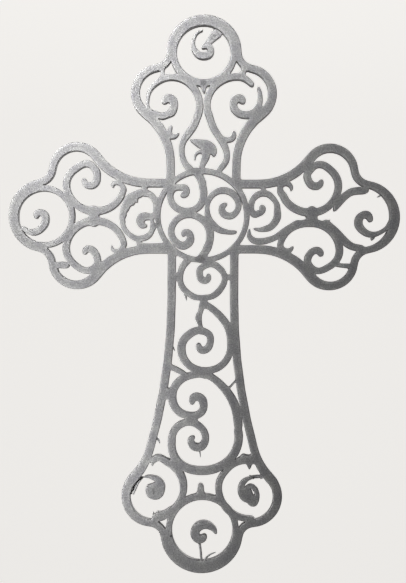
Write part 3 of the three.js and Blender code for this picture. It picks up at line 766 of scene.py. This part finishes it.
def burr_tree():
    """Sweep a rounded section along marks that carry their own width."""
    tree = bpy.data.node_groups.new("burrs_along_marks", "GeometryNodeTree")
    sizes = {"Marks": "Geometry", "Step": "Float", "Rounding": "Float", "Level": "Float",
             "Thickness": "Float", "Iron": "Material"}
    for name, kind in sizes.items():
        tree.interface.new_socket(name, in_out="INPUT", socket_type="NodeSocket" + kind)
    tree.interface.new_socket("Burrs", in_out="OUTPUT", socket_type="NodeSocketGeometry")
    given = add_node(tree, "NodeGroupInput").outputs
    sweep, on_path, corner = burr_sweep(tree, given)
    place = burr_places(tree, given, on_path, corner)
    burrs = add_node(tree, "GeometryNodeSetPosition", {"Geometry": sweep, "Position": place}).outputs[0]
    burrs = add_node(tree, "GeometryNodeRealizeInstances", {"Geometry": burrs}).outputs[0]
    burrs = add_node(tree, "GeometryNodeSetMaterial", {
        "Geometry": burrs, "Material": given["Iron"]}).outputs[0]
    add_node(tree, "NodeGroupOutput", {"Burrs": burrs})
    return tree


burr_nodes = burr_tree()
print("burr tree:", len(burr_nodes.nodes), "nodes")

# %% Grow the burrs
BURR_STEP = 0.8       # mm between two sections of a burr
BURR_ROUNDING = 0.2   # of its width and thickness
BURR_LEVEL = 9.2      # mm from the back to the front of a burr
BURR_THICKNESS = 2.5  # mm


def grown(name, mesh, tree, sizes):
    """Plain mesh that a tree grows from a mesh, with the tree's inputs set by name."""
    holder = add_piece(name, mesh)
    modifier = holder.modifiers.new("tree", "NODES")
    modifier.node_group = tree
    for socket in tree.interface.items_tree:
        if socket.in_out == "INPUT" and socket.name in sizes:
            modifier[socket.identifier] = sizes[socket.name]
    result = bpy.data.meshes.new_from_object(
        holder.evaluated_get(bpy.context.evaluated_depsgraph_get()))
    holder.modifiers.remove(modifier)
    bpy.data.objects.remove(holder)
    result.name = name
    return result


burrs = add_piece("slivers_and_burrs", grown("slivers_and_burrs", burr_marks, burr_nodes, {
    "Step": BURR_STEP * MM, "Rounding": BURR_ROUNDING, "Level": BURR_LEVEL * MM,
    "Thickness": BURR_THICKNESS * MM, "Iron": iron}))
broad_normals(burrs.data)
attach(burrs, "root")
print("burrs:", len(BURRS), "with", len(burrs.data.polygons), "faces, open edges", open_edges(burrs.data))

# %% [markdown]
# ## Studio
# The cross hangs free in the middle of a round room of pale paper, whose floor bends up into its
# wall, so every view has the same plain ground. Paper that is bright enough for that would flood the
# iron from all sides and wipe out the fall of light across its face. The paper therefore glows a
# little by itself, and is hidden from the rays that the iron sends out; the lights alone shape it.

# %% Backdrop
FLOOR_LEVEL = -0.95   # metres, as are the other sizes of the studio
SWEEP_RADIUS = 3.4
SWEEP_BEND = 1.2
SWEEP_TOP = 4
SWEEP_SIDES = 64
BEND_STEPS = 16
PAPER_COLOUR = "#e6e4e1"
PAPER_ROUGHNESS = 0.9
PAPER_GLOW = 0.78


def sweep_profile():
    """Places (radius, height) from the middle of the floor round the bend and up the wall."""
    profile = [(0, FLOOR_LEVEL)]
    for i in range(BEND_STEPS + 1):
        angle = math.pi / 2 * i / BEND_STEPS
        profile.append((SWEEP_RADIUS - SWEEP_BEND + SWEEP_BEND * math.sin(angle),
                        FLOOR_LEVEL + SWEEP_BEND - SWEEP_BEND * math.cos(angle)))
    return profile + [(SWEEP_RADIUS, SWEEP_TOP)]


def sweep_mesh():
    """Round floor that bends up into a wall, with its faces turned inwards."""
    work = bmesh.new()
    corners = [work.verts.new((radius, 0, height)) for radius, height in sweep_profile()]
    edges = [work.edges.new(pair) for pair in zip(corners, corners[1:])]
    bmesh.ops.spin(work, geom=corners + edges, axis=(0, 0, 1), cent=(0, 0, 0), steps=SWEEP_SIDES,
                   angle=2 * math.pi)
    bmesh.ops.remove_doubles(work, verts=work.verts, dist=MM)
    mesh = bpy.data.meshes.new("sweep")
    work.to_mesh(mesh)
    work.free()
    mesh.shade_smooth()
    return mesh


def pale_paper():
    """Uncoated paper: no gloss, one even pale tone."""
    paper = bpy.data.materials.new("pale_paper")
    paper.use_nodes = True
    shader = paper.node_tree.nodes["Principled BSDF"]
    shader.inputs["Base Color"].default_value = linear(PAPER_COLOUR)
    shader.inputs["Roughness"].default_value = PAPER_ROUGHNESS
    shader.inputs["Emission Color"].default_value = linear(PAPER_COLOUR)
    shader.inputs["Emission Strength"].default_value = PAPER_GLOW
    return paper


sweep = add_piece("sweep", sweep_mesh())
sweep.data.materials.append(pale_paper())
sweep.visible_diffuse = False
sweep.visible_glossy = False
print("sweep:", len(sweep.data.polygons), "faces")

# %% [markdown]
# ## Light
# The light in the photograph comes from the upper left. It is brightest on the left arm and the top,
# and dies away towards the lower right. One lamp would light a flat plate far more evenly, so three
# soft pools from the same place overlap on the upper left. Small ones lift the foot and the right
# lobe, and area lights lift the left of the column, the lit edges and the back. They all shine on the
# iron only, so that none draws a spot on the paper, and one more light is there for the paper.

# %% Kinds of light
SPOT_SOFTNESS = 0.08  # metres, radius of a spot's own lamp


def aimed(name, light, place, target):
    """The light at a place, turned to its target and itself out of sight."""
    lamp = bpy.data.objects.new(name, light)
    lamp.location = place
    lamp.rotation_euler = (Vector(target) - Vector(place)).to_track_quat("-Z", "Y").to_euler()
    lamp.visible_camera = False
    bpy.context.scene.collection.objects.link(lamp)
    return lamp


def softbox(name, place, target, size, power):
    """Square area light."""
    light = bpy.data.lights.new(name, "AREA")
    light.size = size
    light.energy = power
    return aimed(name, light, place, target)


def soft_spot(name, place, target, radius, power):
    """Spot light that fades from the middle of its pool of light to the pool's radius."""
    light = bpy.data.lights.new(name, "SPOT")
    light.energy = power
    light.spot_blend = 1
    light.spot_size = 2 * math.atan(radius / (Vector(target) - Vector(place)).length)
    light.shadow_soft_size = SPOT_SOFTNESS
    return aimed(name, light, place, target)


print("lamp of a spot:", SPOT_SOFTNESS, "m in radius")

# %% Lights
# Each light has its place, its target, the radius of its pool or the side of its square, and watts
KEY_PLACE = (-0.72, -0.80, 0.43)
WORLD_COLOUR = "#f2f0ee"
WORLD_GLOW = 0.06
iron_lights = [
    soft_spot("key_light", KEY_PLACE, (-0.15, 0, 0.05), 0.26, 56),
    soft_spot("key_core", KEY_PLACE, (-0.18, 0, 0), 0.2, 57),
    soft_spot("top_light", KEY_PLACE, (0, 0, 0.03), 0.08, 42),
    soft_spot("foot_light", (-0.35, -0.8, -0.5), (0.01, 0, -0.42), 0.1, 3.4),
    soft_spot("right_light", (0.5, -0.8, 0.1), (0.13, 0, -0.15), 0.1, 3),
    softbox("side_light", (-0.14, -0.1, -0.3), (0, 0, -0.3), 0.1, 0.26),
    softbox("edge_light", (-1.3, -0.3, 0.55), (0.05, 0, -0.1), 0.3, 1.2),
    softbox("back_glow", (0, 2.2, 0), (0, 0, 0), 3, 21),
    softbox("back_light", (0.9, 1.3, 0.6), (0, 0, -0.15), 0.5, 18),
]
lit_iron = bpy.data.collections.new("lit_iron")
for piece in (plate, ties, burrs):
    lit_iron.objects.link(piece)
for lamp in iron_lights:
    lamp.light_linking.receiver_collection = lit_iron
softbox("sweep_light", (0, 1.2, 1.6), (0, SWEEP_RADIUS, 0.2), 1.6, 22)
world = bpy.data.worlds.new("studio")
world.use_nodes = True
world.node_tree.nodes["Background"].inputs["Color"].default_value = linear(WORLD_COLOUR)
world.node_tree.nodes["Background"].inputs["Strength"].default_value = WORLD_GLOW
bpy.context.scene.world = world
bpy.context.scene.view_settings.view_transform = "Standard"   # tones as they are, as in the photograph
print("lights:", len(iron_lights), "on the iron, 1 on the paper")

# %% [markdown]
# ## Camera
# The photograph looks straight at the face, from far enough away that hardly any wall shows. Its
# picture is 583 pixels tall, and the cross spans 559 of them, so the lens sets the distance.

# %% Camera
PHOTO_HEIGHT = 583            # pixels
CROSS_HEIGHT_IN_PHOTO = 559   # pixels
LENS = 110                    # mm
SENSOR = 36                   # mm
LEAN = -0.315                 # degrees, the cross leans a little to the right in the picture
AIM = Vector((0.0008, 0, -0.1947))   # metres

frame_height = (cad_high.z - cad_low.z) * PHOTO_HEIGHT / CROSS_HEIGHT_IN_PHOTO
lens = bpy.data.cameras.new("camera")
lens.lens = LENS
lens.sensor_width = SENSOR
camera = bpy.data.objects.new("camera", lens)
camera.location = AIM + Vector((0, cad_low.y - LENS / SENSOR * frame_height, 0))
camera.rotation_euler = (math.pi / 2, math.radians(LEAN), 0)
bpy.context.scene.collection.objects.link(camera)
bpy.context.scene.camera = camera
print("camera distance:", round(-camera.location.y, 3), "m")
